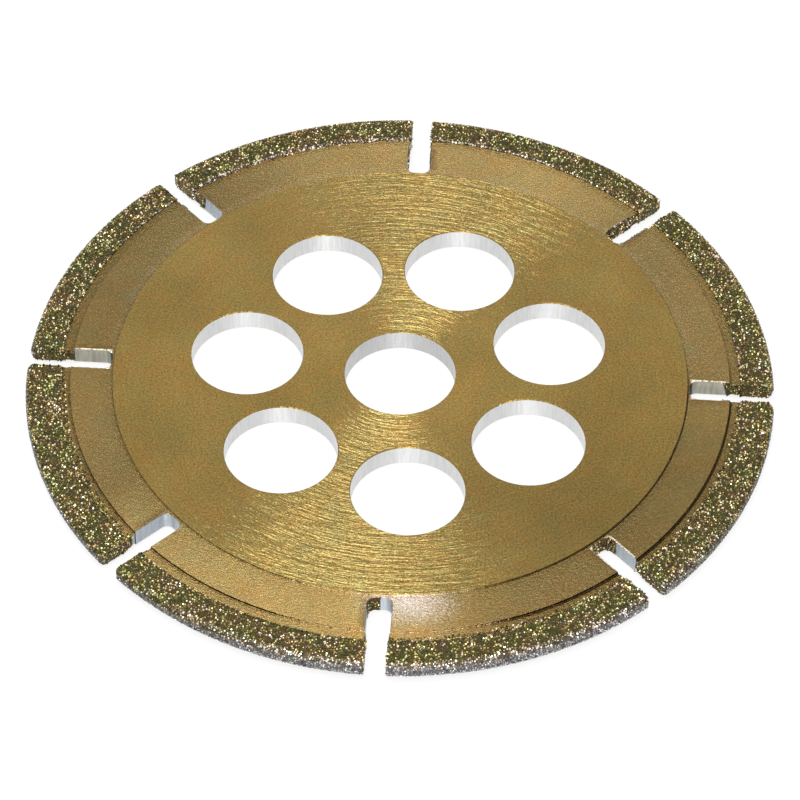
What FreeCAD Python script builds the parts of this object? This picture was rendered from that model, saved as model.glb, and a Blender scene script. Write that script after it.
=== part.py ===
"""Diamond grooving blade, 150 mm across, for a 22.23 mm arbor. Millimetres, +Z up.

The blade lies flat. The origin is in the middle of the bore and of the thickness, and both faces are alike.
The steel core is turned as one piece: a thick hub, a thinner band and a thin rim land with a full-round edge.
Seven round holes lighten the hub, and eight open slots cut the rim into eight lands.
Each land carries its own layer of diamond grit, held in plated nickel.
The layer wraps the land like a channel, over both faces, the round edge and the two walls in the slots.
"""

import math
import os

import FreeCAD
import Part
from FreeCAD import Vector

# Overall sizes
BLADE_DIAMETER = 150.0  # over the grit
BORE_DIAMETER = 22.23
HUB_THICKNESS = 4.6

# The turned steps, each the same on both faces
HUB_DIAMETER = 115.0
HUB_STEP = 0.35  # from the hub's face down to the band
BAND_DIAMETER = 132.0
BAND_STEP = 0.6  # from the band down to the rim land
STEP_FOOT_RADIUS = 0.15
STEP_EDGE_BREAK = 0.08

# The grit layer
GRIT_THICKNESS = 0.4
GRIT_INNER_DIAMETER = 136.0
GRIT_EDGE_RADIUS = 0.2

# The holes in the hub
HOLE_COUNT = 7
HOLE_DIAMETER = 22.5
HOLE_CIRCLE_DIAMETER = 62.4
FIRST_HOLE_ANGLE = 225.0  # this hole is in line with a slot
BORE_CHAMFER = 0.1
HOLE_CHAMFER = 0.2

# The slots in the rim, the first one on +X
SLOT_COUNT = 8
SLOT_WIDTH = 4.8
SLOT_FLOOR_DIAMETER = 115.8  # across the closed ends, which stop just outside the hub's edge
SLOT_END_RADIUS = 1.6  # at the two corners of a slot's closed end
SLOT_CHAMFER = 0.15  # at the band's face
GRIT_CORNER_RADIUS = 1.2  # where a slot opens at the rim

# Sizes that follow from those above
BLADE_RADIUS = BLADE_DIAMETER / 2
CORE_RADIUS = BLADE_RADIUS - GRIT_THICKNESS
HUB_RADIUS = HUB_DIAMETER / 2
BAND_RADIUS = BAND_DIAMETER / 2
HUB_TOP = HUB_THICKNESS / 2
BAND_TOP = HUB_TOP - HUB_STEP
LAND_TOP = BAND_TOP - BAND_STEP
GRIT_TOP = LAND_TOP + GRIT_THICKNESS
ROUND_CENTRE = CORE_RADIUS - LAND_TOP  # centre of the rim's full round, for the steel and for the grit
SLOT_FLOOR = SLOT_FLOOR_DIAMETER / 2
SLOT_REACH = BLADE_RADIUS + 5.0  # cutters run out past the rim
OVERCUT = 1.0  # cutters run out past both faces
CHAMFER_OVERCUT = 0.05  # small, so that the slots' chamfer stays clear of the hub

ORIGIN = Vector(0, 0, 0)
AXIS = Vector(0, 0, 1)


def section_point(radius, height):
    """A point of a turned section, in the XZ plane."""
    return Vector(radius, 0, height)


def line(start, end):
    return Part.LineSegment(start, end).toShape()


def quarter_arc(start, centre, end):
    """The quarter circle from start to end about centre."""
    middle = centre + ((start - centre) + (end - centre)).normalize() * start.distanceToPoint(centre)
    return Part.Arc(start, middle, end).toShape()


def turned(upper_edges):
    """Mirrors the upper half of a section below the middle plane and turns the whole about the axis."""
    upper = Part.Wire(Part.__sortEdges__(upper_edges))
    lower = upper.mirror(ORIGIN, AXIS)
    outline = Part.Wire(Part.__sortEdges__(upper.Edges + lower.Edges))
    return Part.Face(outline).revolve(ORIGIN, AXIS, 360).removeSplitter()


def step_edges(radius, top, foot):
    """One turned step: a broken edge above, a straight wall and a small round at its foot."""
    wall_top = section_point(radius, top - STEP_EDGE_BREAK)
    wall_foot = section_point(radius, foot + STEP_FOOT_RADIUS)
    floor = section_point(radius + STEP_FOOT_RADIUS, foot)
    foot_centre = section_point(radius + STEP_FOOT_RADIUS, foot + STEP_FOOT_RADIUS)
    return [
        line(section_point(radius - STEP_EDGE_BREAK, top), wall_top),
        line(wall_top, wall_foot),
        quarter_arc(wall_foot, foot_centre, floor),
    ]


def core_blank():
    """The turned core before its holes and slots, with the bore and its chamfers."""
    bore_radius = BORE_DIAMETER / 2
    bore_top = section_point(bore_radius, HUB_TOP - BORE_CHAMFER)
    mouth = section_point(bore_radius + BORE_CHAMFER, HUB_TOP)
    hub_edge = section_point(HUB_RADIUS - STEP_EDGE_BREAK, HUB_TOP)
    hub_foot = section_point(HUB_RADIUS + STEP_FOOT_RADIUS, BAND_TOP)
    band_edge = section_point(BAND_RADIUS - STEP_EDGE_BREAK, BAND_TOP)
    band_foot = section_point(BAND_RADIUS + STEP_FOOT_RADIUS, LAND_TOP)
    round_start = section_point(ROUND_CENTRE, LAND_TOP)
    edges = [
        line(section_point(bore_radius, 0), bore_top),
        line(bore_top, mouth),
        line(mouth, hub_edge),
        *step_edges(HUB_RADIUS, HUB_TOP, BAND_TOP),
        line(hub_foot, band_edge),
        *step_edges(BAND_RADIUS, BAND_TOP, LAND_TOP),
        line(band_foot, round_start),
        quarter_arc(round_start, section_point(ROUND_CENTRE, 0), section_point(CORE_RADIUS, 0)),
    ]
    return turned(edges)


def grit_blank():
    """The whole ring that the grit layer is cut from, over the rim land."""
    inner_radius = GRIT_INNER_DIAMETER / 2
    edge_foot = section_point(inner_radius, GRIT_TOP - GRIT_EDGE_RADIUS)
    edge_centre = section_point(inner_radius + GRIT_EDGE_RADIUS, GRIT_TOP - GRIT_EDGE_RADIUS)
    edge_top = section_point(inner_radius + GRIT_EDGE_RADIUS, GRIT_TOP)
    round_start = section_point(ROUND_CENTRE, GRIT_TOP)
    edges = [
        line(section_point(inner_radius, 0), edge_foot),
        quarter_arc(edge_foot, edge_centre, edge_top),
        line(edge_top, round_start),
        quarter_arc(round_start, section_point(ROUND_CENTRE, 0), section_point(BLADE_RADIUS, 0)),
    ]
    return turned(edges)


def around(shape, count, first_angle=0.0):
    """Copies of a shape, evenly spaced about the axis."""
    return [shape.rotated(ORIGIN, AXIS, first_angle + 360.0 * i / count) for i in range(count)]


def hole_cutter():
    """One round hole with a chamfer at each face, on the hole circle."""
    radius = HOLE_DIAMETER / 2
    height = HUB_THICKNESS + 2 * OVERCUT
    cutter = Part.makeCylinder(radius, height, Vector(0, 0, -height / 2))
    rise = HOLE_CHAMFER + OVERCUT
    countersink = Part.makeCone(radius, radius + rise, rise, Vector(0, 0, HUB_TOP - HOLE_CHAMFER))
    cutter = cutter.fuse([countersink, countersink.mirror(ORIGIN, AXIS)])
    cutter.translate(Vector(HOLE_CIRCLE_DIAMETER / 2, 0, 0))
    return cutter


def both_sides(upper_edges, end_points):
    """Closes an outline from its half on +Y, that half's mirror image and a straight line across each end."""
    upper = Part.Wire(Part.__sortEdges__(upper_edges))
    lower = upper.mirror(ORIGIN, Vector(0, 1, 0))
    ends = [line(point, Vector(point.x, -point.y, point.z)) for point in end_points]
    return Part.Wire(Part.__sortEdges__(upper.Edges + lower.Edges + ends))


def slot_sides(half_width, height):
    """The plain slot, open past the rim, with rounded corners at its closed end."""
    centre = Vector(SLOT_FLOOR + SLOT_END_RADIUS, SLOT_WIDTH / 2 - SLOT_END_RADIUS, height)
    corner_radius = half_width - centre.y
    side = centre + Vector(0, corner_radius, 0)
    floor = centre - Vector(corner_radius, 0, 0)
    open_end = Vector(SLOT_REACH, half_width, height)
    return both_sides([line(open_end, side), quarter_arc(side, centre, floor)], [floor, open_end])


def slot_mouth(half_width, rim_radius, corner_radius):
    """The flare at the slot's mouth that rounds the land's two corners, as seen from above."""
    centre_y = half_width + corner_radius
    centre_x = math.sqrt((rim_radius - corner_radius) ** 2 - centre_y**2)
    lean = math.atan2(centre_y, centre_x)
    side = Vector(centre_x, half_width, 0)
    rim = Vector(rim_radius * math.cos(lean), rim_radius * math.sin(lean), 0)
    half_turn = (lean - math.pi / 2) / 2  # half way between the directions of the arc's two ends
    spoke = Vector(math.cos(half_turn), math.sin(half_turn), 0)
    middle = Vector(centre_x, centre_y, 0) + spoke * corner_radius
    outside = Vector(SLOT_REACH, rim.y, 0)
    return both_sides([Part.Arc(side, middle, rim).toShape(), line(rim, outside)], [side, outside])


def upright(outline):
    """An outline in the middle plane, cut through the whole thickness."""
    height = HUB_THICKNESS + 2 * OVERCUT
    prism = Part.Face(outline).extrude(Vector(0, 0, height))
    prism.translate(Vector(0, 0, -height / 2))
    return prism


def slot_cutter(half_width, rim_radius, corner_radius):
    """The slot as cut through the blade on +X, with rounded corners at its mouth."""
    return upright(slot_sides(half_width, 0)).fuse(upright(slot_mouth(half_width, rim_radius, corner_radius)))


def slot_chamfer_cutter():
    """The 45 degree cut that follows a slot's edge at the band's two faces."""
    depth = BAND_TOP - SLOT_CHAMFER
    rise = SLOT_CHAMFER + CHAMFER_OVERCUT
    half_width = SLOT_WIDTH / 2
    outlines = [slot_sides(half_width, depth), slot_sides(half_width + rise, depth + rise)]
    upper = Part.makeLoft(outlines, True, True)
    return Part.makeCompound([upper, upper.mirror(ORIGIN, AXIS)])


def steel_core():
    half_width = SLOT_WIDTH / 2
    corner_radius = GRIT_CORNER_RADIUS - GRIT_THICKNESS
    slot = slot_cutter(half_width, CORE_RADIUS, corner_radius)
    core = core_blank()
    core = core.cut(around(hole_cutter(), HOLE_COUNT, FIRST_HOLE_ANGLE))
    core = core.cut(around(slot, SLOT_COUNT))
    core = core.cut(around(slot_chamfer_cutter(), SLOT_COUNT))
    return core.Solids[0]


def diamond_segments(core):
    """The grit layer on the eight lands, in order around the blade from the slot on +X."""
    slot = slot_cutter(SLOT_WIDTH / 2 - GRIT_THICKNESS, BLADE_RADIUS, GRIT_CORNER_RADIUS)
    layer = grit_blank().cut(core).cut(around(slot, SLOT_COUNT))

    def angle(solid):
        centre = solid.CenterOfMass
        return math.degrees(math.atan2(centre.y, centre.x)) % 360

    return sorted(layer.Solids, key=angle)


def export(shape, name):
    os.makedirs("parts", exist_ok=True)
    shape.exportStep(f"parts/{name}.step")
    print(f"{name}: {len(shape.Solids)} solid, {shape.Volume:.1f} mm3, valid {shape.isValid()}")


def main():
    core = steel_core()
    export(core, "steel_core")
    for number, segment in enumerate(diamond_segments(core), start=1):
        export(segment, f"diamond_segment_{number}")


main()
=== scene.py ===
"""Looks of the diamond grooving blade: gold-coated turned steel, and a rim of coarse diamond grains."""

import math
import random

import bmesh
import bpy
from mathutils import Matrix, Quaternion, Vector


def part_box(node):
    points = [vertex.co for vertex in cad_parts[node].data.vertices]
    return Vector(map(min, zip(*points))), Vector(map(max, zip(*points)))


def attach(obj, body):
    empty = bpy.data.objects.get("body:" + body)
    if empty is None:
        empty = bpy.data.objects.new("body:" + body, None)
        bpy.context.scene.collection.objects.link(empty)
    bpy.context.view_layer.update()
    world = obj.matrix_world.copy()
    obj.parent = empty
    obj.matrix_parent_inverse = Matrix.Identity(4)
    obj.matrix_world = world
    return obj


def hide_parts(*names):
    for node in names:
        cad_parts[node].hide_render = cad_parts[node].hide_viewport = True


MM = 0.001

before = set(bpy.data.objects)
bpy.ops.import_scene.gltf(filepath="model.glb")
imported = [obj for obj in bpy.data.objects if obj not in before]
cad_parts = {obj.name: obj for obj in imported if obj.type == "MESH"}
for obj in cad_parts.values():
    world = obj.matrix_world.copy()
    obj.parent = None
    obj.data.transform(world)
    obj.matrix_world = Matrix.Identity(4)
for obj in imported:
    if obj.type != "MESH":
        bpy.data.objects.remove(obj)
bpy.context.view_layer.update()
CORE = "steel_core"
SEGMENTS = sorted(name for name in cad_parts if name.startswith("diamond_segment"))

# Sizes read from the frame
CORE_LOW, CORE_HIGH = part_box(CORE)
HUB_TOP = CORE_HIGH.z
GRIT_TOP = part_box(SEGMENTS[0])[1].z

# The turned steps and the slots, as built
HUB_RADIUS = 57.5 * MM
BAND_RADIUS = 66.0 * MM
GRIT_INNER_RADIUS = 68.0 * MM
BLADE_RADIUS = 75.0 * MM
SLOT_HALF_WIDTH = 2.4 * MM
SLOT_FLOOR = 57.9 * MM
SLOT_COUNT = 8

# Allowances by which faces of the solids are told apart
MERGE_DISTANCE = 0.001 * MM
WALL_LEAN = 0.3  # a wall's normal leans out of the blade's plane by less than this
SIDE_SLACK = 0.01 * MM
FLOOR_SLACK = 0.1 * MM
HEART_MARGIN = 3 * MM  # a land's heart keeps this far from the slots' middle lines
HEART_INSET = 0.6 * MM  # and this far from the layer's inner edge

# The grains
GRAIN_SHAPES = 12
GRAIN_CORNER_PARTS = 50  # a grain's corners are one when they are nearer than its edge divided by this
GRAIN_RADIUS = 0.27 * MM
GRAIN_STRETCH = (0.85, 1.15)
GRAIN_SIZES = (0.65, 1.2)
GRAIN_TILT = math.radians(15)
GRAIN_FOOT = 0.3  # how far below its centre a grain is cut off, as a share of its radius
GRAIN_SINK = 0.28 * MM  # how far below the layer's surface a grain's centre lies
GRAIN_PITCH = 0.40 * MM
SOWING_DENSITY = 4.0 / GRAIN_PITCH**2
BOND_DEPTH = 0.22 * MM  # how far below the layer's surface the bond lies
LAND_SEED_STEP = 10
STRAY_SEED = 100
WALL_SEED = 200
SLANT_SEED = 1

# How far in the grit runs, as a radius in millimetres: on each land's face, and on the walls of each slot
FACE_RUN_IN = {3: 67.6, 5: 66.9, 7: 67.3, 8: 67.4}
WALL_RUN_IN = {0: 65.0, 45: 59.0, 90: 62.5, 135: 64.5, 180: 66.0, 225: 66.8, 270: 66.0, 315: 66.2}
GRITTY_SLOT_ENDS = (45, 270, 315)
HALF_GRITTY_SLOT_END = 270
RUN_IN_THICKNESS = 0.1 * MM
RUN_IN_HEIGHT = 0.3 * MM  # of the grains' tips over the steel
RUN_IN_SLANT = 0.35  # how far the grit's border leans on a wall
RUN_IN_RAGGEDNESS = 1.2 * MM
STRAY_OVERLAP = 0.2 * MM  # how far out stray grains reach into the land's own layer

# The stage. The floor's first colour is for the light that it sheds, and the second for what is seen.
FLOOR_GAP = 0.02 * MM  # keeps the floor out of the blade's lower face
FLOOR_HALF_SIZE = 4.0
FLOOR_LIT = (0.75, 0.75, 0.75, 1)
FLOOR_SEEN = (0.22, 0.22, 0.22, 1)
FLOOR_GLOW = 0.82
WORLD_LEVEL = 0.55

# The photograph's camera. Its lens and sensor are in millimetres.
CAMERA_TURN = math.radians(3.3)
CAMERA_ELEVATION = math.radians(47.634)
CAMERA_ROLL = math.radians(0.564)
CAMERA_DISTANCE = 781.7 * MM
CAMERA_OFFSET = Vector((-0.033, -5.400)) * MM
CAMERA_LENS = 175.8
CAMERA_SENSOR = 36.0
CAMERA_NEAREST = 0.01

# Kinds of sockets, and the numbers of the first input, second input and output for each kind of data
FLOAT = "NodeSocketFloat"
VECTOR = "NodeSocketVector"
COLOUR = "NodeSocketColor"
MIX_SOCKETS = {"FLOAT": (2, 3, 0), "VECTOR": (4, 5, 1), "RGBA": (6, 7, 2)}
RANDOM_SOCKETS = {"FLOAT_VECTOR": (0, 1, 0), "FLOAT": (2, 3, 1), "INT": (4, 5, 2)}


def give_inputs(tree, node, inputs):
    """Gives each input, by name or number, a link or a value of its own."""
    for name, value in inputs.items():
        if isinstance(value, bpy.types.NodeSocket):
            tree.links.new(value, node.inputs[name])
        else:
            node.inputs[name].default_value = value


def add_node(tree, kind, inputs=None, **settings):
    node = tree.nodes.new(kind)
    for name, value in settings.items():
        setattr(node, name, value)
    give_inputs(tree, node, inputs or {})
    return node


def calculate(tree, operation, *values):
    return add_node(tree, "ShaderNodeMath", dict(enumerate(values)), operation=operation).outputs[0]


def product(tree, first, *others):
    for other in others:
        first = calculate(tree, "MULTIPLY", first, other)
    return first


def vector_math(tree, operation, *values):
    return add_node(tree, "ShaderNodeVectorMath", dict(enumerate(values)), operation=operation).outputs


def scaled(tree, vector, factor):
    inputs = {0: vector, "Scale": factor}
    return add_node(tree, "ShaderNodeVectorMath", inputs, operation="SCALE").outputs["Vector"]


def length_of(tree, vector):
    return vector_math(tree, "LENGTH", vector)["Value"]


def axes_of(tree, vector):
    return add_node(tree, "ShaderNodeSeparateXYZ", {"Vector": vector}).outputs


def in_plane(tree, position):
    """A point's place in the plane of the blade, without its height."""
    return vector_math(tree, "MULTIPLY", position, (1, 1, 0))["Vector"]


def distance_from_axis(tree, position):
    return length_of(tree, in_plane(tree, position))


def ramp(tree, value, span, onto=(0.0, 1.0)):
    """Takes the values of one span onto another, held at both ends."""
    inputs = {"Value": value, "From Min": span[0], "From Max": span[1], "To Min": onto[0], "To Max": onto[1]}
    return add_node(tree, "ShaderNodeMapRange", inputs, clamp=True).outputs["Result"]


def falling(tree, value, span):
    return ramp(tree, value, span, (1.0, 0.0))


def between(tree, value, span, soft):
    """One where a value lies inside a span, with soft borders, and zero elsewhere."""
    low, high = span
    rising = ramp(tree, value, (low - soft, low + soft))
    return product(tree, rising, falling(tree, value, (high - soft, high + soft)))


def towards(tree, position, angle, span):
    """Zero away from a direction and one near it. The span is of the cosine of the angle away from it."""
    outward = vector_math(tree, "NORMALIZE", in_plane(tree, position))["Vector"]
    direction = (math.cos(angle), math.sin(angle), 0)
    return ramp(tree, vector_math(tree, "DOT_PRODUCT", outward, direction)["Value"], span)


def mix(tree, kind, factor, first, second, **settings):
    first_input, second_input, output = MIX_SOCKETS[kind]
    inputs = {0: factor, first_input: first, second_input: second}
    return add_node(tree, "ShaderNodeMix", inputs, data_type=kind, **settings).outputs[output]


def mix_colours(tree, factor, first, second, blend_type="MIX"):
    return mix(tree, "RGBA", factor, first, second, blend_type=blend_type)


def mix_values(tree, factor, first, second):
    return mix(tree, "FLOAT", factor, first, second)


def noise(tree, vector, scale, detail=2.0, roughness=0.5):
    inputs = {"Vector": vector, "Scale": scale, "Detail": detail, "Roughness": roughness}
    return add_node(tree, "ShaderNodeTexNoise", inputs).outputs


def wobble(tree, position, scale, width, **settings):
    """Noise about zero, of a given width from its lowest to its highest."""
    return calculate(tree, "MULTIPLY_ADD", noise(tree, position, scale, **settings)["Fac"], width, -width / 2)


def new_group(name, inputs, outputs):
    """A shader node group with named sockets, and its input and output nodes."""
    tree = bpy.data.node_groups.new(name, "ShaderNodeTree")
    for socket_name, kind in inputs.items():
        tree.interface.new_socket(socket_name, in_out="INPUT", socket_type=kind)
    for socket_name, kind in outputs.items():
        tree.interface.new_socket(socket_name, in_out="OUTPUT", socket_type=kind)
    return tree, tree.nodes.new("NodeGroupInput").outputs, tree.nodes.new("NodeGroupOutput").inputs


def use_group(tree, group, inputs):
    return add_node(tree, "ShaderNodeGroup", inputs, node_tree=group).outputs


# How fine each pattern is, in swings a metre
DRIFT_SCALE = 55.0
BLOTCH_SCALE = 210.0
HAZE_SCALE = 300.0
CLUSTER_SCALE = 330.0
RUN_IN_SCALE = 700.0
BORDER_SCALE = 900.0
SLOT_EDGE_SCALE = 1000.0
STEP_SCALE = 1300.0
GRAIN_SCALE = 1700.0
DRAWN_SCALE = 1800.0
# The painted highlight of the glare patch breaks up at this scale
GLARE_SCALE = 2000.0
BOND_SCALE = 2200.0
SPECKLE_SCALE = 2600.0

# The part of its noise over which each pattern sets in, and the tones that it has there
DRIFT_SPAN = (0.3, 0.7)
DRIFT_TONES = (0.88, 1.10)
BLOTCH_SPAN = (0.36, 0.64)
BLOTCH_GREENER = (0.94, 1.01, 1.04, 1)
BLOTCH_REDDER = (1.06, 0.98, 0.92, 1)
SPECKLE_SPAN = (0.22, 0.78)
SPECKLE_GREYNESS = 0.6

# The tool marks on the faces: how far they reach across and along, and where the lighter tone sets in
HUB_MARKS = {"Width": 0.72 * MM, "Length": 8.0 * MM}
HUB_MARKS_SPAN = (0.38, 0.66)
BAND_MARKS = {"Width": 0.32 * MM, "Length": 0.8 * MM}
BAND_MARKS_SPAN = (0.35, 0.65)
MARKS_DEPTH = 0.36 * MM

# The upright marks on the walls
DRAWN_STRETCH = (1.0, 1.0, 0.12)
DRAWN_SPAN = (0.3, 0.7)
DRAWN_RELIEF = 0.08  # as a share of the depth of the marks on the faces

# The coating sets in over this span of how level a face is, from 0 for an upright wall to 1 for a level face
COATING_SPAN = {"Start": 0.45, "End": 0.65}
COATING_RAGGEDNESS = 0.3

# Roughness, and how strongly fine speckles show
HUB_ROUGHNESS = 0.14
BAND_ROUGHNESS = 0.20
WALL_ROUGHNESS = 0.5
HUB_SPECKLE = 0.6
BAND_SPECKLE = 0.25

# Colours of the coating
GOLD_DARK = (0.285, 0.192, 0.057, 1)
GOLD_LIGHT = (0.312, 0.209, 0.062, 1)
SATIN_DARK = (0.240, 0.160, 0.054, 1)
SATIN_LIGHT = (0.270, 0.183, 0.064, 1)
# Painted shade beside the slots' rolled-over edges
ROLLED_SHADE_GOLD = (0.165, 0.100, 0.034, 1)
HAZE_GOLD = (0.36, 0.285, 0.155, 1)
# Painted highlight along the slots' edges, and its pale painted glints
EDGE_HIGHLIGHT_GOLD = (0.38, 0.25, 0.08, 1)
EDGE_GLINT_PALE = (0.92, 0.84, 0.66, 1)
# Painted highlight of the glare patch on the band
GLARE_PALE = (0.74, 0.65, 0.57, 1)

# Colours of the steps' walls and at their feet: painted shade, a brown painted highlight and pale painted
# glint specks
STEP_SHADOW = (0.045, 0.026, 0.010, 1)
STEP_BROWN = (0.16, 0.085, 0.03, 1)
STEP_GLINT_SPECKS = (0.92, 0.80, 0.70, 1)

# Colours of the bare walls
STEEL_DARK = (0.70, 0.70, 0.71, 1)
STEEL_LIGHT = (0.80, 0.80, 0.77, 1)
BORE_TONE = 0.85  # of the bore's wall, against the round holes' walls
SLOT_STEEL_DARK = (0.50, 0.55, 0.60, 1)
SLOT_STEEL_LIGHT = (0.66, 0.70, 0.73, 1)
DULL_SLOT_DARK = (0.34, 0.33, 0.27, 1)
DULL_SLOT_LIGHT = (0.50, 0.49, 0.41, 1)
SLOT_END_STEEL = (0.05, 0.075, 0.06, 1)

# Borders between parts of the core, as distances from the axis
HUB_BORDER = (HUB_RADIUS - 0.1 * MM, HUB_RADIUS + 0.1 * MM)
BORE_BORDER = (11.5 * MM, 11.7 * MM)
SLOTS_BORDER = (50 * MM, 51 * MM)

# Rings around the axis, and how soft their borders are
STEP_RINGS = [(radius - 0.1 * MM, radius + 0.17 * MM) for radius in (HUB_RADIUS, BAND_RADIUS)]
STEP_SOFT = 0.02 * MM
# Rings of painted shade at the feet of the hub's and the band's steps
HUB_FOOT_SHADE_RING = (HUB_RADIUS, HUB_RADIUS + 0.26 * MM)
HUB_FOOT_SHADE_SOFT = 0.05 * MM
BAND_FOOT_SHADE_RING = (BAND_RADIUS, BAND_RADIUS + 0.42 * MM)
BAND_FOOT_SHADE_SOFT = 0.08 * MM
HAZE_RING = (HUB_RADIUS + 0.5 * MM, HUB_RADIUS + 1.6 * MM)
HAZE_SOFT = 0.8 * MM
# Ring of the painted shade beside the slots' rolled-over edges
ROLLED_RING = (58.5 * MM, 65.5 * MM)
ROLLED_SOFT = 0.7 * MM
# Ring of the painted highlight along the slots' edges
SLOT_EDGE_RING = (58.2 * MM, 65.6 * MM)
SLOT_EDGE_SOFT = 0.2 * MM
# Rings of the grains' painted glint rows
SHOULDER_RING = (73.5 * MM, 74.5 * MM)
SHOULDER_SOFT = 0.25 * MM
INNER_EDGE_RING = (67.7 * MM, 68.5 * MM)
INNER_EDGE_SOFT = 0.2 * MM

# The two slots on X, told by their distance from the X axis: the band's edges, the walls and the closed ends
X_SLOT_EDGES = (4 * MM, 5 * MM)
X_SLOT_WALLS = (3 * MM, 4 * MM)
X_SLOT_ENDS = (1.9 * MM, 2.2 * MM)

# A painted highlight: the pale glare patch on the band beside the lowest slot of the photograph
GLARE_PLACE = (5.5 * MM, -58.8 * MM, 1.9 * MM)
GLARE_REACH = (7.5 * MM, 4.8 * MM, 3.0 * MM)
GLARE_RAGGEDNESS = 3.0
GLARE_SPAN = (-0.2, 1.3)
GLARE_STRENGTH = 0.9

# A painted shade over part of the faces, darkest at its middle, and the brighter part around the bore
SHADE_PLACE = (46 * MM, -38 * MM, 2.3 * MM)
SHADE_REACH = 48 * MM
SHADE_TONE = 0.70
BRIGHT_MIDDLE = (14 * MM, 34 * MM)
BRIGHT_MIDDLE_TONE = 1.10

# Directions towards which the band is brighter, as painted highlights where the light's glints fall, or
# duller, with the tone reached in each
BAND_TONES = ((math.radians(252), 1.58), (math.radians(80), 1.30), (math.radians(150), 0.82))
BAND_TONE_SPAN = (0.78, 0.97)

# Painted highlight along the slots' edges. One slot and the two on X have it clearest.
SLOT_EDGE = 2.68 * MM  # from a slot's middle line to the outside of its painted edge highlight
SLOT_EDGE_FADE = 0.04 * MM
SLOT_EDGE_ANGLE = math.radians(315)
SLOT_EDGE_ANGLE_SPAN = (0.98, 0.985)
SLOT_EDGE_STRENGTHS = (0.12, 0.9)
SLOT_EDGE_SPECKS = (0.34, 0.48)
ROLLED_WIDTH = 1.8 * MM  # how far the painted shade beside a slot's rolled-over edge reaches

# The haze on the +Y half
HAZE_Y_SPAN = (-5 * MM, 12 * MM)
HAZE_CLOUD_SPAN = (0.3, 0.7)
HAZE_STRENGTHS = (0.0, 0.45)

# Painted shade at the feet of the steps, thick towards +X and thin on the +Y half and where the step has its
# painted highlight
FOOT_SHADE_X_SPAN = (-5 * MM, 35 * MM)
FOOT_SHADE_X_SHARES = (0.25, 1.0)
FOOT_SHADE_Y_SPAN = (-2 * MM, 9 * MM)
FOOT_SHADE_Y_SHARES = (1.0, 0.12)
FOOT_SHADE_HIGHLIT_SHARE = 0.1

# The directions in which the steps, the rim's shoulder and the grit's inner edge get painted highlights and
# glints
BRIGHT_STEP_ANGLE = math.radians(272)
BRIGHT_STEP_SPAN = (0.93, 0.975)
STEP_SPECK_SPAN = (0.64, 0.72)
SPECKS_WHERE_HIGHLIT = 0.32
BRIGHT_SHOULDER_ANGLE = math.radians(284)
BRIGHT_INNER_EDGE_ANGLE = math.radians(100)
GLINT_ROW_SPAN = (0.6, 0.9)
GLINT_ROW_STRENGTH = 0.85

# The middle of the rim's edge has lost its gold tint, over a wider strip towards the shoulder's painted
# glints, where the bare grains also get a painted highlight
BARE_EDGE_HEIGHT = 0.75 * MM
BARE_EDGE_FADE = 0.15 * MM
BARE_EDGE_RAGGEDNESS = 0.8 * MM
BARE_EDGE_WIDENING = 0.35 * MM
BARE_EDGE_WIDENING_SPAN = (0.7, 0.95)
BARE_EDGE_BRIGHT_SPAN = (0.72, 0.94)
BARE_EDGE_BORDER = (BLADE_RADIUS - 1.1 * MM, BLADE_RADIUS - 0.9 * MM)

# Tones of the grains, by each grain's random value
GRAIN_TONES = [
    (0.00, (0.028, 0.022, 0.010, 1)),
    (0.32, (0.085, 0.068, 0.020, 1)),
    (0.57, (0.215, 0.160, 0.047, 1)),
    (0.76, (0.370, 0.290, 0.090, 1)),
    (0.90, (0.800, 0.640, 0.260, 1)),
    (0.98, (0.960, 0.880, 0.740, 1)),
]
# Paler tones for the grains in the painted glint rows
GLINT_GRAIN_TONES = [
    (0.00, (0.045, 0.030, 0.024, 1)),
    (0.35, (0.220, 0.150, 0.110, 1)),
    (0.60, (0.620, 0.500, 0.430, 1)),
    (0.85, (0.980, 0.920, 0.900, 1)),
]
BARE_GRAIN_DARK = (0.030, 0.026, 0.022, 1)
BARE_GRAIN_LIGHT = (0.35, 0.335, 0.29, 1)
# Painted highlight: brighter tones of the bare grains towards the shoulder's painted glints
BRIGHT_GRAIN_DARK = (0.036, 0.031, 0.032, 1)
BRIGHT_GRAIN_LIGHT = (0.65, 0.625, 0.61, 1)
GRAIN_SPECKLE = 0.35
# The bond's colours are darkened as painted shade between the grains
BOND_GOLD_AND_SHADE = (0.075, 0.060, 0.018, 1)
BOND_BARE = (0.15, 0.146, 0.138, 1)
BOND_RELIEF = 0.08 * MM
CLUSTER_SPAN = (0.38, 0.62)
CLUSTER_GREEN = (0.92, 1.03, 0.80, 1)
CLUSTER_BROWN = (1.12, 0.97, 1.02, 1)


def turning_marks_group():
    """Short concentric tool marks. The pattern changes fast across the radius and slowly along an arc."""
    inputs = {"Position": VECTOR, "Width": FLOAT, "Length": FLOAT}
    tree, given, result = new_group("Turning marks", inputs, {"Marks": FLOAT})
    shrinking = calculate(tree, "DIVIDE", 1.0, given["Length"])
    along = scaled(tree, in_plane(tree, given["Position"]), shrinking)
    turns = calculate(tree, "DIVIDE", distance_from_axis(tree, given["Position"]), given["Width"])
    across = add_node(tree, "ShaderNodeCombineXYZ", {"Z": turns}).outputs[0]
    place = vector_math(tree, "ADD", along, across)["Vector"]
    marks = noise(tree, place, scale=1.0, detail=3.0, roughness=0.65)["Fac"]
    tree.links.new(marks, result["Marks"])
    return tree


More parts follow.
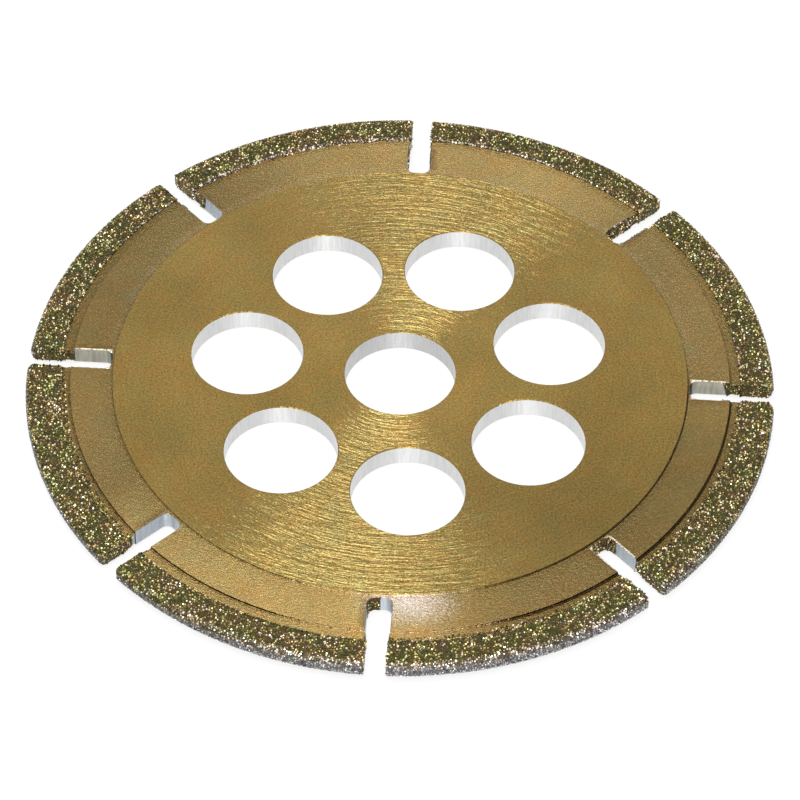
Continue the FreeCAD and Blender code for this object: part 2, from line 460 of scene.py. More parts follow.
def gold_wash_group():
    """The gold coating lies on what faces up or down. Upright walls stay bare, with an uneven border."""
    inputs = {"Position": VECTOR, "Normal": VECTOR, "Start": FLOAT, "End": FLOAT}
    tree, given, result = new_group("Gold wash", inputs, {"Gold": FLOAT})
    levelness = calculate(tree, "ABSOLUTE", axes_of(tree, given["Normal"])["Z"])
    uneven = wobble(tree, given["Position"], BORDER_SCALE, COATING_RAGGEDNESS)
    shifted = calculate(tree, "ADD", levelness, uneven)
    tree.links.new(ramp(tree, shifted, (given["Start"], given["End"])), result["Gold"])
    return tree


def mottle_group():
    """Slow drifts of tone, and redder and greener blotches, as in a thin coating that took unevenly."""
    inputs = {"Position": VECTOR, "Colour": COLOUR, "Amount": FLOAT}
    tree, given, result = new_group("Coating mottle", inputs, {"Colour": COLOUR})
    drift = noise(tree, given["Position"], DRIFT_SCALE, detail=3.0)["Fac"]
    blotch = noise(tree, given["Position"], BLOTCH_SCALE, detail=5.0, roughness=0.65)["Fac"]
    fine = noise(tree, given["Position"], SPECKLE_SCALE, detail=1.0)
    speckle = mix_colours(tree, SPECKLE_GREYNESS, fine["Color"], ramp(tree, fine["Fac"], SPECKLE_SPAN))
    toned = scaled(tree, given["Colour"], ramp(tree, drift, DRIFT_SPAN, DRIFT_TONES))
    tint = mix_colours(tree, ramp(tree, blotch, BLOTCH_SPAN), BLOTCH_GREENER, BLOTCH_REDDER)
    tinted = mix_colours(tree, 1.0, toned, tint, "MULTIPLY")
    speckled = mix_colours(tree, given["Amount"], tinted, speckle, "OVERLAY")
    tree.links.new(speckled, result["Colour"])
    return tree


def slot_distance_group():
    """How far a point lies from the nearest slot's middle line, positive on the line's left, looking out."""
    tree, given, result = new_group("Slot distance", {"Position": VECTOR}, {"Across": FLOAT})
    axes = axes_of(tree, given["Position"])
    half_pitch = math.pi / SLOT_COUNT
    angle = calculate(tree, "ARCTAN2", axes["Y"], axes["X"])
    turned = calculate(tree, "WRAP", angle, half_pitch, -half_pitch)
    across = product(tree, distance_from_axis(tree, given["Position"]), calculate(tree, "SINE", turned))
    tree.links.new(across, result["Across"])
    return tree


TURNING_MARKS = turning_marks_group()
GOLD_WASH = gold_wash_group()
MOTTLE = mottle_group()
SLOT_DISTANCE = slot_distance_group()


def new_material(name):
    material = bpy.data.materials.new(name)
    material.use_nodes = True
    tree = material.node_tree
    return material, tree, tree.nodes["Principled BSDF"]


def glare_patch(tree, position):
    """Painted highlight: strongest in the middle of the glare patch, breaking up towards its border."""
    moved = vector_math(tree, "SUBTRACT", position, GLARE_PLACE)["Vector"]
    distance = length_of(tree, vector_math(tree, "DIVIDE", moved, GLARE_REACH)["Vector"])
    uneven = wobble(tree, position, GLARE_SCALE, GLARE_RAGGEDNESS, detail=3.0, roughness=0.8)
    return ramp(tree, calculate(tree, "ADD", distance, uneven), GLARE_SPAN, (GLARE_STRENGTH, 0.0))


def steel_wall_colour(tree, position, radius, drawn):
    """Bare steel: bright in the round holes, duller in the slots, and grey and dark-ended in those on X."""
    from_x_axis = calculate(tree, "ABSOLUTE", axes_of(tree, position)["Y"])
    hole = mix_colours(tree, drawn, STEEL_DARK, STEEL_LIGHT)
    hole = scaled(tree, hole, ramp(tree, radius, BORE_BORDER, (BORE_TONE, 1.0)))
    slot = mix_colours(tree, drawn, SLOT_STEEL_DARK, SLOT_STEEL_LIGHT)
    dull = mix_colours(tree, drawn, DULL_SLOT_DARK, DULL_SLOT_LIGHT)
    slot = mix_colours(tree, falling(tree, from_x_axis, X_SLOT_WALLS), slot, dull)
    slot = mix_colours(tree, falling(tree, from_x_axis, X_SLOT_ENDS), slot, SLOT_END_STEEL)
    return mix_colours(tree, ramp(tree, radius, SLOTS_BORDER), hole, slot)


def rolled_edge_shade(tree, radius, across):
    """Painted shade of a rolled-over band face that the shape doesn't have: one along the edge beside each
    slot, fading away from the slot.
    """
    nearness = ramp(tree, across, (-SLOT_HALF_WIDTH - ROLLED_WIDTH, -SLOT_HALF_WIDTH))
    on_right = calculate(tree, "LESS_THAN", across, 0.0)
    return product(tree, nearness, on_right, between(tree, radius, ROLLED_RING, ROLLED_SOFT))


def slot_edge_highlight(tree, position, radius, across):
    """How strongly the painted highlight along a slot's edge shows, and zero away from the slots' edges."""
    from_slot = calculate(tree, "ABSOLUTE", across)
    at_edge = falling(tree, from_slot, (SLOT_EDGE - SLOT_EDGE_FADE, SLOT_EDGE))
    from_x_axis = calculate(tree, "ABSOLUTE", axes_of(tree, position)["Y"])
    on_x = falling(tree, from_x_axis, X_SLOT_EDGES)
    near = towards(tree, position, SLOT_EDGE_ANGLE, SLOT_EDGE_ANGLE_SPAN)
    clearest = calculate(tree, "MAXIMUM", on_x, near)
    on_band = between(tree, radius, SLOT_EDGE_RING, SLOT_EDGE_SOFT)
    return product(tree, at_edge, on_band, mix_values(tree, clearest, *SLOT_EDGE_STRENGTHS))


def slot_edge_highlight_colour(tree, position):
    """Painted highlight along a slot's chamfer: a lighter gold, with pale painted glints in dots."""
    speck = noise(tree, position, SLOT_EDGE_SCALE, roughness=0.6)["Fac"]
    return mix_colours(tree, ramp(tree, speck, SLOT_EDGE_SPECKS), EDGE_HIGHLIGHT_GOLD, EDGE_GLINT_PALE)


def step_colour(tree, position, step_highlight):
    """A step's wall: dark painted shade, and towards one side a brown painted highlight with pale painted
    glint specks.
    """
    speck = noise(tree, position, STEP_SCALE, roughness=0.7)["Fac"]
    shown = calculate(tree, "MULTIPLY_ADD", step_highlight, SPECKS_WHERE_HIGHLIT, speck)
    wall = mix_colours(tree, step_highlight, STEP_SHADOW, STEP_BROWN)
    return mix_colours(tree, ramp(tree, shown, STEP_SPECK_SPAN), wall, STEP_GLINT_SPECKS)


def painted_shade_at_steps(tree, position, radius, step_highlight):
    """Painted shade in the corner at the foot of each step."""
    axes = axes_of(tree, position)
    thick = product(
        tree,
        ramp(tree, axes["X"], FOOT_SHADE_X_SPAN, FOOT_SHADE_X_SHARES),
        ramp(tree, axes["Y"], FOOT_SHADE_Y_SPAN, FOOT_SHADE_Y_SHARES),
        mix_values(tree, step_highlight, 1.0, FOOT_SHADE_HIGHLIT_SHARE),
    )
    hub_foot = between(tree, radius, HUB_FOOT_SHADE_RING, HUB_FOOT_SHADE_SOFT)
    band_foot = between(tree, radius, BAND_FOOT_SHADE_RING, BAND_FOOT_SHADE_SOFT)
    return product(tree, calculate(tree, "MAXIMUM", hub_foot, band_foot), thick)


def haze(tree, position, radius):
    """A pale haze on the band along the foot of the hub, on the +Y half of the blade."""
    half = ramp(tree, axes_of(tree, position)["Y"], HAZE_Y_SPAN)
    cloud = noise(tree, position, HAZE_SCALE, detail=3.0, roughness=0.6)["Fac"]
    ring = between(tree, radius, HAZE_RING, HAZE_SOFT)
    return product(tree, ring, half, ramp(tree, cloud, HAZE_CLOUD_SPAN, HAZE_STRENGTHS))


def painted_shade_and_highlight(tree, position, radius, on_band):
    """Painted shade and highlight on the coating: a painted shade over one part, brighter round the bore, and
    on the band painted highlights towards two sides and duller towards a third.
    """
    from_shade_place = length_of(tree, vector_math(tree, "SUBTRACT", position, SHADE_PLACE)["Vector"])
    tone = product(
        tree,
        ramp(tree, from_shade_place, (0.0, SHADE_REACH), (SHADE_TONE, 1.0)),
        ramp(tree, radius, BRIGHT_MIDDLE, (BRIGHT_MIDDLE_TONE, 1.0)),
    )
    for angle, reached in BAND_TONES:
        near = product(tree, towards(tree, position, angle, BAND_TONE_SPAN), on_band)
        tone = product(tree, tone, mix_values(tree, near, 1.0, reached))
    return tone


def groove_direction(tree, normal, wall):
    """The direction of the tool marks: round the blade's axis on the faces, and level along the walls."""
    turned = add_node(tree, "ShaderNodeTangent", direction_type="RADIAL", axis="Z").outputs[0]
    level = vector_math(tree, "CROSS_PRODUCT", (0, 0, 1), normal)["Vector"]
    return mix(tree, "VECTOR", wall, turned, level)


def gold_steel_material():
    material, tree, surface = new_material("gold_steel")
    coordinates = tree.nodes.new("ShaderNodeTexCoord").outputs
    position, normal = coordinates["Object"], coordinates["Normal"]
    radius = distance_from_axis(tree, position)
    across = use_group(tree, SLOT_DISTANCE, {"Position": position})["Across"]
    hub_marks = use_group(tree, TURNING_MARKS, {"Position": position, **HUB_MARKS})["Marks"]
    band_marks = use_group(tree, TURNING_MARKS, {"Position": position, **BAND_MARKS})["Marks"]
    upright = add_node(tree, "ShaderNodeMapping", {"Vector": position, "Scale": DRAWN_STRETCH}).outputs[0]
    drawn = ramp(tree, noise(tree, upright, DRAWN_SCALE, detail=3.0)["Fac"], DRAWN_SPAN)

    on_band = ramp(tree, radius, HUB_BORDER)
    on_step = calculate(tree, "MAXIMUM", *(between(tree, radius, ring, STEP_SOFT) for ring in STEP_RINGS))
    gold = use_group(tree, GOLD_WASH, {"Position": position, "Normal": normal, **COATING_SPAN})["Gold"]
    bare = calculate(tree, "SUBTRACT", 1.0, gold)
    step_wall = product(tree, bare, on_step)
    wall = calculate(tree, "SUBTRACT", bare, step_wall)
    step_highlight = towards(tree, position, BRIGHT_STEP_ANGLE, BRIGHT_STEP_SPAN)
    foot_shade = product(tree, painted_shade_at_steps(tree, position, radius, step_highlight), gold)
    glare = product(tree, glare_patch(tree, position), on_band)
    edge = product(tree, slot_edge_highlight(tree, position, radius, across), gold)

    turned_gold = mix_colours(tree, ramp(tree, hub_marks, HUB_MARKS_SPAN), GOLD_DARK, GOLD_LIGHT)
    satin_gold = mix_colours(tree, ramp(tree, band_marks, BAND_MARKS_SPAN), SATIN_DARK, SATIN_LIGHT)
    coating = mix_colours(tree, on_band, turned_gold, satin_gold)
    # Painted shade over one part of the faces, and painted highlights on the band
    face = scaled(tree, coating, painted_shade_and_highlight(tree, position, radius, on_band))
    face = mix_colours(tree, haze(tree, position, radius), face, HAZE_GOLD)
    # Painted shade beside the slots' rolled-over edges
    face = mix_colours(tree, rolled_edge_shade(tree, radius, across), face, ROLLED_SHADE_GOLD)
    speckle = mix_values(tree, on_band, HUB_SPECKLE, BAND_SPECKLE)
    face = use_group(tree, MOTTLE, {"Position": position, "Colour": face, "Amount": speckle})["Colour"]
    # Painted highlight: the pale glare patch on the band
    face = mix_colours(tree, glare, face, GLARE_PALE)
    # Painted shade at the feet of the steps
    face = mix_colours(tree, foot_shade, face, STEP_SHADOW)
    # Painted highlight and glints along the slots' edges
    face = mix_colours(tree, edge, face, slot_edge_highlight_colour(tree, position))
    # Painted shade on the steps' walls, with a painted highlight and glint specks towards one side
    face = mix_colours(tree, step_wall, face, step_colour(tree, position, step_highlight))
    colour = mix_colours(tree, wall, face, steel_wall_colour(tree, position, radius, drawn))

    face_relief = mix_values(tree, on_band, hub_marks, band_marks)
    relief = mix_values(tree, wall, face_relief, product(tree, drawn, DRAWN_RELIEF))
    bump = add_node(tree, "ShaderNodeBump", {"Height": relief, "Strength": 1.0, "Distance": MARKS_DEPTH})
    face_roughness = mix_values(tree, on_band, HUB_ROUGHNESS, BAND_ROUGHNESS)
    inputs = {
        "Base Color": colour,
        "Roughness": mix_values(tree, wall, face_roughness, WALL_ROUGHNESS),
        "Normal": bump.outputs["Normal"],
        "Tangent": groove_direction(tree, normal, wall),
        "Metallic": 1.0,
        "Anisotropic": 0.9,
        "Anisotropic Rotation": 0.25,
    }
    give_inputs(tree, surface, inputs)
    return material


def colour_stops(tree, value, stops):
    """A colour for a value from zero to one, through the given places and colours."""
    node = add_node(tree, "ShaderNodeValToRGB", {"Fac": value})
    elements = node.color_ramp.elements
    for (place, colour), element in zip(stops, elements):
        element.position = place
        element.color = colour
    for place, colour in stops[len(elements):]:
        elements.new(place).color = colour
    return node.outputs["Color"]


def bare_edge(tree, position):
    """One on the middle of the rim's edge, with a ragged border, and zero elsewhere."""
    uneven = wobble(tree, position, BORDER_SCALE, BARE_EDGE_RAGGEDNESS)
    height = calculate(tree, "ADD", calculate(tree, "ABSOLUTE", axes_of(tree, position)["Z"]), uneven)
    near = towards(tree, position, BRIGHT_SHOULDER_ANGLE, BARE_EDGE_WIDENING_SPAN)
    height = calculate(tree, "SUBTRACT", height, product(tree, near, BARE_EDGE_WIDENING))
    low = falling(tree, height, (BARE_EDGE_HEIGHT - BARE_EDGE_FADE, BARE_EDGE_HEIGHT + BARE_EDGE_FADE))
    return product(tree, low, ramp(tree, distance_from_axis(tree, position), BARE_EDGE_BORDER))


def glint_rows(tree, position):
    """Painted glints: high along two rows of grains, the rim's shoulder and the inner edge on the other side.
    """
    radius = distance_from_axis(tree, position)
    shoulder = product(
        tree,
        between(tree, radius, SHOULDER_RING, SHOULDER_SOFT),
        towards(tree, position, BRIGHT_SHOULDER_ANGLE, GLINT_ROW_SPAN),
    )
    inner_edge = product(
        tree,
        between(tree, radius, INNER_EDGE_RING, INNER_EDGE_SOFT),
        towards(tree, position, BRIGHT_INNER_EDGE_ANGLE, GLINT_ROW_SPAN),
    )
    return product(tree, calculate(tree, "MAXIMUM", shoulder, inner_edge), GLINT_ROW_STRENGTH)


def clustered(tree, position, colour):
    """Grit drifts between a greener and a browner tint over a few grains."""
    cluster = noise(tree, position, CLUSTER_SCALE, detail=3.0)["Fac"]
    tint = mix_colours(tree, ramp(tree, cluster, CLUSTER_SPAN), CLUSTER_GREEN, CLUSTER_BROWN)
    return mix_colours(tree, 1.0, colour, tint, "MULTIPLY")


def grain_material():
    """Diamond grains, each with its own tone, and two rows of painted glints. Those on the rim's edge have
    lost their gold tint, with a painted highlight towards one side.
    """
    material, tree, surface = new_material("diamond_grains")
    position = tree.nodes.new("ShaderNodeTexCoord").outputs["Object"]
    tone = add_node(tree, "ShaderNodeAttribute", attribute_name="grain_tone").outputs["Fac"]
    golden = clustered(tree, position, colour_stops(tree, tone, GRAIN_TONES))
    # Paler tones on two rows of grains: painted glints
    golden = mix_colours(tree, glint_rows(tree, position), golden, colour_stops(tree, tone, GLINT_GRAIN_TONES))
    bare = mix_colours(tree, tone, BARE_GRAIN_DARK, BARE_GRAIN_LIGHT)
    # Brighter bare grains towards the shoulder: a painted highlight
    bright = mix_colours(tree, tone, BRIGHT_GRAIN_DARK, BRIGHT_GRAIN_LIGHT)
    near = towards(tree, position, BRIGHT_SHOULDER_ANGLE, BARE_EDGE_BRIGHT_SPAN)
    bare = mix_colours(tree, near, bare, bright)
    colour = mix_colours(tree, bare_edge(tree, position), golden, bare)
    speckle = noise(tree, position, GRAIN_SCALE, detail=1.0)["Color"]
    colour = mix_colours(tree, GRAIN_SPECKLE, colour, speckle, "OVERLAY")
    give_inputs(tree, surface, {"Base Color": colour, "Roughness": 0.2, "Metallic": 0.8, "IOR": 2.4})
    return material


def bond_material():
    """The plated bond between the grains, darkened as painted shade between them."""
    material, tree, surface = new_material("plated_bond")
    position = tree.nodes.new("ShaderNodeTexCoord").outputs["Object"]
    golden = clustered(tree, position, BOND_GOLD_AND_SHADE)
    colour = mix_colours(tree, bare_edge(tree, position), golden, BOND_BARE)
    rough = noise(tree, position, BOND_SCALE)["Fac"]
    bump = add_node(tree, "ShaderNodeBump", {"Height": rough, "Strength": 1.0, "Distance": BOND_RELIEF})
    inputs = {"Base Color": colour, "Normal": bump.outputs["Normal"], "Metallic": 0.9, "Roughness": 0.4}
    give_inputs(tree, surface, inputs)
    return material


def grain_shape(seed, material):
    """A blocky diamond grain: a cube with its corners cut off, tilted a little and cut off below."""
    chance = random.Random(seed)
    shape = bmesh.new()
    edge = 2 * GRAIN_RADIUS / math.sqrt(2)
    bmesh.ops.create_cube(shape, size=edge)
    bmesh.ops.bevel(
        shape, geom=shape.verts[:], offset=edge / 2, affect="VERTICES", segments=1, profile=0.5, material=-1
    )
    bmesh.ops.remove_doubles(shape, verts=shape.verts[:], dist=edge / GRAIN_CORNER_PARTS)
    stretch = Vector([chance.uniform(*GRAIN_STRETCH) for _ in range(3)])
    bmesh.ops.scale(shape, vec=stretch, verts=shape.verts[:])
    heading = chance.uniform(0, 2 * math.pi)
    turn = Quaternion((math.cos(heading), math.sin(heading), 0), chance.gauss(0, GRAIN_TILT))
    bmesh.ops.rotate(shape, cent=(0, 0, 0), matrix=turn.to_matrix(), verts=shape.verts[:])
    bmesh.ops.bisect_plane(
        shape,
        geom=shape.verts[:] + shape.edges[:] + shape.faces[:],
        plane_co=(0, 0, -GRAIN_FOOT * GRAIN_RADIUS),
        plane_no=(0, 0, -1),
        clear_outer=True,
    )
    bmesh.ops.holes_fill(shape, edges=[e for e in shape.edges if e.is_boundary], sides=0)
    bmesh.ops.recalc_face_normals(shape, faces=shape.faces[:])
    bmesh.ops.translate(shape, vec=(0, 0, -GRAIN_SINK), verts=shape.verts[:])
    mesh = as_mesh(shape, f"grain_shape_{seed}")
    shape.free()
    mesh.materials.append(material)
    return bpy.data.objects.new(mesh.name, mesh)


def random_value(tree, kind, low, high, seed):
    """A random value for each grain."""
    low_input, high_input, output = RANDOM_SOCKETS[kind]
    inputs = {low_input: low, high_input: high, "Seed": seed}
    return add_node(tree, "FunctionNodeRandomValue", inputs, data_type=kind).outputs[output]


def keep_between(tree, points, inner, outer):
    """Drops the points that aren't between two distances from the axis. The inner border is uneven."""
    position = add_node(tree, "GeometryNodeInputPosition").outputs[0]
    uneven = wobble(tree, position, RUN_IN_SCALE, RUN_IN_RAGGEDNESS)
    radius = distance_from_axis(tree, position)
    too_near = calculate(tree, "LESS_THAN", calculate(tree, "ADD", radius, uneven), inner)
    too_far = calculate(tree, "GREATER_THAN", radius, outer)
    dropping = {"Geometry": points, "Selection": calculate(tree, "MAXIMUM", too_near, too_far)}
    return add_node(tree, "GeometryNodeDeleteGeometry", dropping, domain="POINT").outputs[0]


def scatter_tree(shapes, seed, inner, outer):
    """Geometry nodes that sow grains on a surface, none closer than the pitch, turned and sized at random."""
    tree = bpy.data.node_groups.new("Sow grains", "GeometryNodeTree")
    tree.interface.new_socket("Geometry", in_out="INPUT", socket_type="NodeSocketGeometry")
    tree.interface.new_socket("Geometry", in_out="OUTPUT", socket_type="NodeSocketGeometry")
    surface = tree.nodes.new("NodeGroupInput").outputs["Geometry"]
    sowing = {"Mesh": surface, "Distance Min": GRAIN_PITCH, "Density Max": SOWING_DENSITY, "Seed": seed}
    sown = add_node(tree, "GeometryNodeDistributePointsOnFaces", sowing, distribute_method="POISSON").outputs
    choosing = {"Collection": shapes, "Separate Children": True, "Reset Children": True}
    choice = add_node(tree, "GeometryNodeCollectionInfo", choosing).outputs[0]
    size = random_value(tree, "FLOAT", *GRAIN_SIZES, seed + 1)
    spin = random_value(tree, "FLOAT_VECTOR", (0, 0, 0), (0, 0, 2 * math.pi), seed + 2)
    tone = random_value(tree, "FLOAT", 0.0, 1.0, seed + 3)
    pick = random_value(tree, "INT", 0, GRAIN_SHAPES - 1, seed + 4)
    points = keep_between(tree, sown["Points"], inner, outer)
    placing = {"Points": points, "Instance": choice, "Pick Instance": True, "Instance Index": pick}
    placing.update({"Rotation": sown["Rotation"], "Scale": size})
    placed = add_node(tree, "GeometryNodeInstanceOnPoints", placing).outputs[0]
    spinning = {"Instances": placed, "Rotation": spin, "Local Space": True}
    spun = add_node(tree, "GeometryNodeRotateInstances", spinning).outputs[0]
    toning = {"Geometry": spun, "Name": "grain_tone", "Value": tone}
    storing = {"data_type": "FLOAT", "domain": "INSTANCE"}
    toned = add_node(tree, "GeometryNodeStoreNamedAttribute", toning, **storing).outputs[0]
    real = add_node(tree, "GeometryNodeRealizeInstances", {"Geometry": toned}).outputs[0]
    tree.links.new(real, tree.nodes.new("NodeGroupOutput").inputs["Geometry"])
    return tree


def add_object(name, data):
    made = bpy.data.objects.new(name, data)
    bpy.context.scene.collection.objects.link(made)
    return made


def as_mesh(shape, name):
    mesh = bpy.data.meshes.new(name)
    shape.to_mesh(mesh)
    return mesh


def sow(name, skin, shapes, seed, inner=0.0, outer=2 * BLADE_RADIUS):
    """A new piece made of the grains that are sown on a skin. The skin itself isn't kept."""
    bed = add_object(name + "_bed", skin)
    modifier = bed.modifiers.new("Sow grains", "NODES")
    modifier.node_group = scatter_tree(shapes, seed, inner, outer)
    made = bed.evaluated_get(bpy.context.evaluated_depsgraph_get())
    grains = bpy.data.meshes.new_from_object(made)
    grains.name = name
    bpy.data.objects.remove(bed)
    return add_object(name, grains)


def merged_copy(node):
    """The mesh of a CAD node as a closed bmesh."""
    shape = bmesh.new()
    shape.from_mesh(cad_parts[node].data)
    bmesh.ops.remove_doubles(shape, verts=shape.verts[:], dist=MERGE_DISTANCE)
    shape.normal_update()
    return shape


def cut_off(shape, place, facing):
    """Cuts a bmesh at a plane and drops what lies on the side that the plane faces."""
    geometry = shape.verts[:] + shape.edges[:] + shape.faces[:]
    bmesh.ops.bisect_plane(shape, geom=geometry, plane_co=place, plane_no=facing, clear_outer=True)


def land_middle(node):
    """The direction, in the plane of the blade, of a land's middle."""
    low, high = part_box(node)
    middle = (low + high) / 2
    return Vector((middle.x, middle.y, 0)).normalized()


def faces_out(face, direction):
    """Whether a face of a grit layer lies on its outside, and not against the steel.

    The land's heart is the middle of the steel that the layer wraps. An outer face looks away from it.
    """
    centre = face.calc_center_median()
    along = centre.dot(direction)
    side = Vector((-direction.y, direction.x, 0))
    across = centre.dot(side)
    radius = math.hypot(along, across)
    inner = min(max(radius, GRIT_INNER_RADIUS + HEART_INSET), BLADE_RADIUS - GRIT_TOP)
    half_span = math.pi / SLOT_COUNT - HEART_MARGIN / radius
    angle = min(max(math.atan2(across, along), -half_span), half_span)
    heart = inner * (direction * math.cos(angle) + side * math.sin(angle))
    return face.normal.dot(centre - heart) > 0


def move_along_normals(faces, distance):
    """Moves the corners of some faces along the mean of those faces' normals."""
    normals = {}
    for face in faces:
        for vert in face.verts:
            normals.setdefault(vert, []).append(face.normal.copy())
    for vert, around in normals.items():
        vert.co += sum(around, Vector()).normalized() * distance


def grit_layer(node, shapes, number):
    """The plated bond and the grains of one land, inside the space of its CAD layer."""
    shape = merged_copy(node)
    direction = land_middle(node)
    outside = {face for face in shape.faces if faces_out(face, direction)}
    against_steel = [face for face in shape.faces if face not in outside]
    skin_shape = shape.copy()
    skin_shape.faces.ensure_lookup_table()
    inner_faces = [skin_shape.faces[face.index] for face in against_steel]
    bmesh.ops.delete(skin_shape, geom=inner_faces, context="FACES")
    skin = as_mesh(skin_shape, "grit_skin")
    skin_shape.free()

    move_along_normals(outside, -BOND_DEPTH)
    bond = as_mesh(shape, f"plated_bond_{number}")
    shape.free()
    bond_piece = add_object(bond.name, bond)
    return bond_piece, sow(f"diamond_grains_{number}", skin, shapes, number * LAND_SEED_STEP)


def slot_frame(angle):
    """A slot's direction outwards and its direction to the left."""
    turn = math.radians(angle)
    return Vector((math.cos(turn), math.sin(turn), 0)), Vector((-math.sin(turn), math.cos(turn), 0))


def core_walls(angle, low, high, slant):
    """The core's upright walls in one slot, between two distances from the axis. The inner cut is aslant."""
    shape = merged_copy(CORE)
    out, left = slot_frame(angle)
    spare = []
    for face in shape.faces:
        centre = face.calc_center_median()
        beside_line = abs(centre.dot(left)) < SLOT_HALF_WIDTH + SIDE_SLACK
        in_slot = beside_line and centre.dot(out) > SLOT_FLOOR - FLOOR_SLACK
        if not in_slot or abs(face.normal.z) > WALL_LEAN:
            spare.append(face)
    bmesh.ops.delete(shape, geom=spare, context="FACES")
    cut_off(shape, out * low, Vector((0, 0, slant)) - out)
    cut_off(shape, out * high, out)
    return shape


def join(parts, name):
    """One bmesh from several, which are freed."""
    whole = bmesh.new()
    for part in parts:
        mesh = as_mesh(part, name)
        part.free()
        whole.from_mesh(mesh)
        bpy.data.meshes.remove(mesh)
    return whole


def run_in_walls():
    """The stretches of the slots' bare walls that the grit ran onto, further in than the lands' layers."""
    chance = random.Random(SLANT_SEED)
    parts = []
    for angle, reach in WALL_RUN_IN.items():
        slant = chance.uniform(-RUN_IN_SLANT, RUN_IN_SLANT)
        parts.append(core_walls(angle, reach * MM, GRIT_INNER_RADIUS, slant))
    for angle in GRITTY_SLOT_ENDS:
        end = core_walls(angle, SLOT_FLOOR - FLOOR_SLACK, SLOT_FLOOR + SLOT_HALF_WIDTH, 0.0)
        if angle == HALF_GRITTY_SLOT_END:
            cut_off(end, (0, 0, 0), slot_frame(angle)[1])
        parts.append(end)
    return join(parts, "run_in_walls")


def lifted_skin(shape, name):
    """A bed for grains that stand on the steel: the steel's own faces, moved off it."""
    lifted = shape.copy()
    move_along_normals(lifted.faces, RUN_IN_HEIGHT)
    skin = as_mesh(lifted, name)
    lifted.free()
    return skin


def run_in_on_walls(shapes):
    """Grit and plating on the slots' walls, inwards of the lands' layers."""
    shape = run_in_walls()
    skin = lifted_skin(shape, "run_in_skin")
    bmesh.ops.solidify(shape, geom=shape.faces[:], thickness=-RUN_IN_THICKNESS)
    bmesh.ops.recalc_face_normals(shape, faces=shape.faces[:])
    bond = as_mesh(shape, "run_in_bond")
    shape.free()
    return add_object(bond.name, bond), sow("run_in_grains", skin, shapes, WALL_SEED)


def run_in_on_face(number, shapes):
    """Grit that ran onto the bare ring of a land, inwards of the land's own layer."""
    shape = merged_copy(CORE)
    direction = land_middle(SEGMENTS[number - 1])
    spread = math.cos(math.pi / SLOT_COUNT)
    spare = []
    for face in shape.faces:
        centre = face.calc_center_median()
        radius = math.hypot(centre.x, centre.y)
        on_land = radius > BAND_RADIUS and abs(face.normal.z) > 1 - WALL_LEAN and abs(centre.z) < GRIT_TOP
        if not on_land or centre.dot(direction) < radius * spread:
            spare.append(face)
    bmesh.ops.delete(shape, geom=spare, context="FACES")
    skin = lifted_skin(shape, "land_ring")
    shape.free()
    inner, outer = FACE_RUN_IN[number] * MM, GRIT_INNER_RADIUS + STRAY_OVERLAP
    return sow(f"stray_grains_{number}", skin, shapes, STRAY_SEED + number, inner, outer)


def place_grit(piece, replaced=None):
    if replaced:
        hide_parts(replaced)
    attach(piece, "root")


def dress_segments():
    grains_finish = grain_material()
    bond_finish = bond_material()
    shapes = bpy.data.collections.new("grain_shapes")
    for seed in range(GRAIN_SHAPES):
        shapes.objects.link(grain_shape(seed, grains_finish))
    for number, node in enumerate(SEGMENTS, start=1):
        bond, grains = grit_layer(node, shapes, number)
        bond.data.materials.append(bond_finish)
        place_grit(bond, node)
        place_grit(grains)
    bond, grains = run_in_on_walls(shapes)
    bond.data.materials.append(bond_finish)
    place_grit(bond)
    place_grit(grains)
    for number in FACE_RUN_IN:
        place_grit(run_in_on_face(number, shapes))


def dress_core():
    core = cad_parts[CORE]
    core.data.materials.clear()
    core.data.materials.append(gold_steel_material())


def seen_directly(tree):
    """One for the camera and for reflections of the stage, and zero for the light that it sheds."""
    path = tree.nodes.new("ShaderNodeLightPath").outputs
    mirrored = calculate(tree, "MAXIMUM", path["Is Glossy Ray"], path["Is Transmission Ray"])
    return calculate(tree, "MAXIMUM", path["Is Camera Ray"], mirrored)


def make_floor():
    shape = bmesh.new()
    bmesh.ops.create_grid(shape, x_segments=1, y_segments=1, size=FLOOR_HALF_SIZE)
    bmesh.ops.translate(shape, vec=(0, 0, CORE_LOW.z - FLOOR_GAP), verts=shape.verts[:])
    floor = add_object("floor", as_mesh(shape, "floor"))
    shape.free()
    material, tree, surface = new_material("floor_white")
    seen = seen_directly(tree)
    inputs = {
        "Base Color": mix_colours(tree, seen, FLOOR_LIT, FLOOR_SEEN),
        "Emission Strength": product(tree, seen, FLOOR_GLOW),
        "Emission Color": (1, 1, 1, 1),
        "Roughness": 1.0,
        "Specular IOR Level": 0.0,
    }
    give_inputs(tree, surface, inputs)
    floor.data.materials.append(material)


def direction_from_camera_side(azimuth, elevation):
    """A direction from the blade. The azimuth counts from the camera's side. Both are in degrees."""
    turn = CAMERA_TURN + math.radians(azimuth - 90)
    rise = math.radians(elevation)
    return Vector((math.cos(turn) * math.cos(rise), math.sin(turn) * math.cos(rise), math.sin(rise)))


def make_world():
    world = bpy.data.worlds.new("studio")
    world.use_nodes = True
    tree = world.node_tree
    strength = mix_values(tree, seen_directly(tree), WORLD_LEVEL, 1.0)
    give_inputs(tree, tree.nodes["Background"], {"Color": (1, 1, 1, 1), "Strength": strength})
    bpy.context.scene.world = world


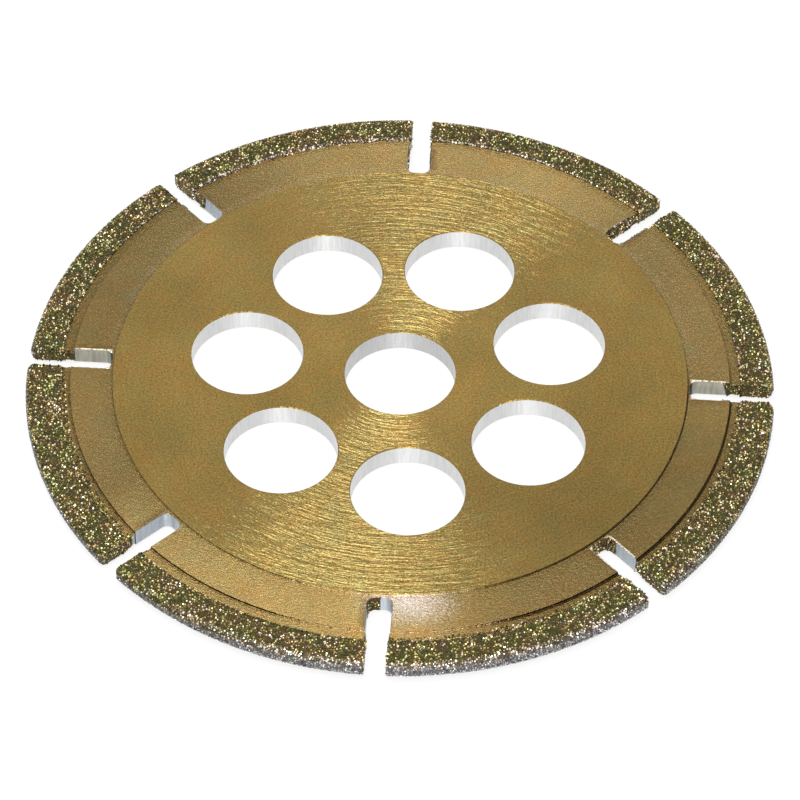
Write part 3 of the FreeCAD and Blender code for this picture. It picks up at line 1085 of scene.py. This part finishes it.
def add_softbox(name, azimuth, elevation, distance, half_angles, edge_azimuth, brightness, colour):
    """A rectangular area light that faces the blade.

    Its half angles, in degrees, are its width and height as the blade sees them. The width runs towards the
    edge azimuth.
    """
    light = bpy.data.lights.new(name, "AREA")
    light.color = colour
    light.shape = "RECTANGLE"
    width, height = (2 * distance * math.tan(math.radians(angle)) for angle in half_angles)
    light.size = width
    light.size_y = height
    light.energy = math.pi * brightness * width * height
    lamp = add_object(name, light)
    outward = direction_from_camera_side(azimuth, elevation)
    level = direction_from_camera_side(edge_azimuth, 0)
    across = (level - outward * level.dot(outward)).normalized()
    turn = Matrix((across, outward.cross(across), outward)).transposed()
    lamp.matrix_world = Matrix.Translation(outward * distance) @ turn.to_4x4()


def make_lights():
    add_softbox(
        "overhead_softbox",
        azimuth=-144.5,
        elevation=78.6,
        distance=2.5,
        half_angles=(11.6, 10.5),
        edge_azimuth=78.7,
        brightness=7.7,
        colour=(0.68, 0.81, 1.0),
    )
    add_softbox(
        "camera_side_flash",
        azimuth=-2.5,
        elevation=62,
        distance=1.5,
        half_angles=(17.9, 17.9),
        edge_azimuth=90,
        brightness=3.2,
        colour=(1.0, 0.98, 1.0),
    )
    add_softbox(
        "low_front_light",
        azimuth=3.0,
        elevation=16,
        distance=1.5,
        half_angles=(3.5, 3.5),
        edge_azimuth=90,
        brightness=14.0,
        colour=(1.0, 1.0, 1.0),
    )


def make_camera():
    turn = Matrix.Rotation(CAMERA_TURN, 3, "Z")
    elevation, roll = CAMERA_ELEVATION, CAMERA_ROLL
    ahead = turn @ Vector((0, math.cos(elevation), -math.sin(elevation)))
    level_right = turn @ Vector((1, 0, 0))
    level_up = turn @ Vector((0, math.sin(elevation), math.cos(elevation)))
    right = math.cos(roll) * level_right + math.sin(roll) * level_up
    up = -math.sin(roll) * level_right + math.cos(roll) * level_up
    target = Vector((0, 0, HUB_TOP))
    place = target - ahead * CAMERA_DISTANCE + right * CAMERA_OFFSET.x + up * CAMERA_OFFSET.y
    data = bpy.data.cameras.new("camera")
    data.lens = CAMERA_LENS
    data.sensor_width = CAMERA_SENSOR
    data.clip_start = CAMERA_NEAREST
    camera = add_object("camera", data)
    camera.matrix_world = Matrix.Translation(place) @ Matrix((right, up, -ahead)).transposed().to_4x4()
    bpy.context.scene.camera = camera


make_camera()
make_world()
make_floor()
make_lights()
dress_core()
dress_segments()
bpy.context.scene.view_settings.view_transform = "Standard"
